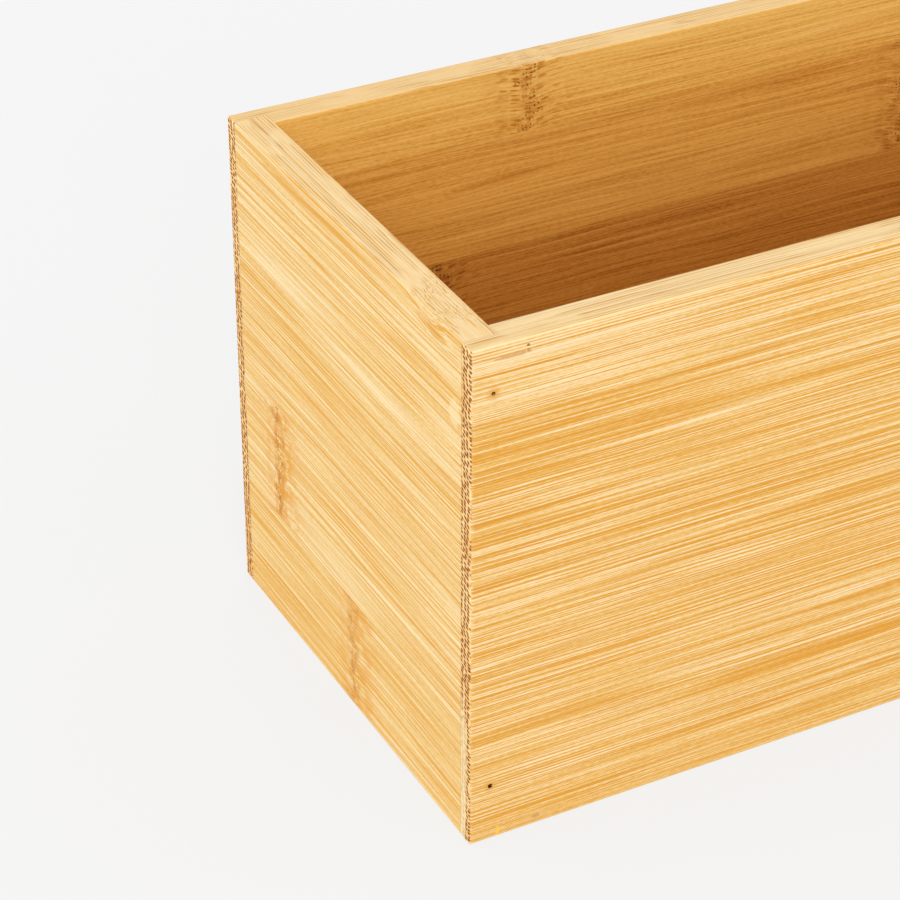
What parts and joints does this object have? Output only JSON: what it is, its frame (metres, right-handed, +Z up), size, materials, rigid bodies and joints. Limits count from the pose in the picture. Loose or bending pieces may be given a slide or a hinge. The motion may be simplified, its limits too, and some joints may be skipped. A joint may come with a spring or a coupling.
{
  "type": "pen holder box",
  "caption": "Open-top rectangular bamboo box for pens and desk items, with rabbeted and pinned corners and a floor panel held in grooves.",
  "frame": {"origin": "centre of the box's underside, on the surface it stands on", "axes": "+X along the long side to the right, +Y across the box from the front board to the back board, +Z up"},
  "size_m": [0.15, 0.075, 0.08],
  "materials": {
    "wall_bamboo": "satin",
    "floor_bamboo": "satin",
    "pin_steel": "satin"
  },
  "bodies": {
    "root": {"front_strip_1": "wall_bamboo", "front_strip_2": "wall_bamboo", "front_strip_3": "wall_bamboo", "front_strip_4": "wall_bamboo", "front_strip_5": "wall_bamboo", "back_strip_1": "wall_bamboo", "back_strip_2": "wall_bamboo", "back_strip_3": "wall_bamboo", "back_strip_4": "wall_bamboo", "back_strip_5": "wall_bamboo", "left_strip_1": "wall_bamboo", "left_strip_2": "wall_bamboo", "left_strip_3": "wall_bamboo", "left_strip_4": "wall_bamboo", "left_strip_5": "wall_bamboo", "right_strip_1": "wall_bamboo", "right_strip_2": "wall_bamboo", "right_strip_3": "wall_bamboo", "right_strip_4": "wall_bamboo", "right_strip_5": "wall_bamboo", "floor_strip_1": "floor_bamboo", "floor_strip_2": "floor_bamboo", "floor_strip_3": "floor_bamboo", "floor_strip_4": "floor_bamboo", "corner_pins": "pin_steel"}
  },
  "joints": []
}
